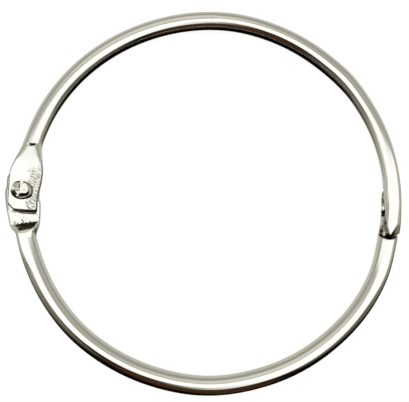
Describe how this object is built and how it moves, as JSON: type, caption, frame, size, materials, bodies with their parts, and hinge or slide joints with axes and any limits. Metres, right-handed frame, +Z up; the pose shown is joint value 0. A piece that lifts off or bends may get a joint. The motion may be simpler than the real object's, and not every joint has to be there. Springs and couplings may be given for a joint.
{
  "type": "binder ring",
  "caption": "Hinged loose-leaf binder ring of bright plated wire: two half rings riveted at flattened ends and closed by a hooked half-lap clasp.",
  "frame": {"origin": "centre of the closed ring, on the middle plane of the round wire", "axes": "+X towards the clasp, the rivet's axis crosses -X, +Z up off the face that the ring lies on"},
  "size_m": [0.0724, 0.0708, 0.0046],
  "materials": {
    "ring_plate": "bright nickel plate on drawn and pressed steel wire",
    "rivet_plate": "bright nickel plate on a hammered steel rivet"
  },
  "bodies": {
    "lower_half": {"lower_half_ring": "ring_plate"},
    "hinge_rivet": {"rivet": "rivet_plate"},
    "upper_half": {"upper_half_ring": "ring_plate"}
  },
  "joints": [
    {"name": "unlatch", "type": "hinge", "parent": "lower_half", "child": "hinge_rivet", "pos_m": [-0.0337, 0, 0], "axis": [0, -1, 0], "range_deg": [0, 0.7], "stiffness_Nm_per_rad": 50},
    {"name": "ring_swing", "type": "hinge", "parent": "hinge_rivet", "child": "upper_half", "pos_m": [-0.0337, 0, 0], "axis": [0, 0, 1], "range_deg": [0, 145]}
  ]
}
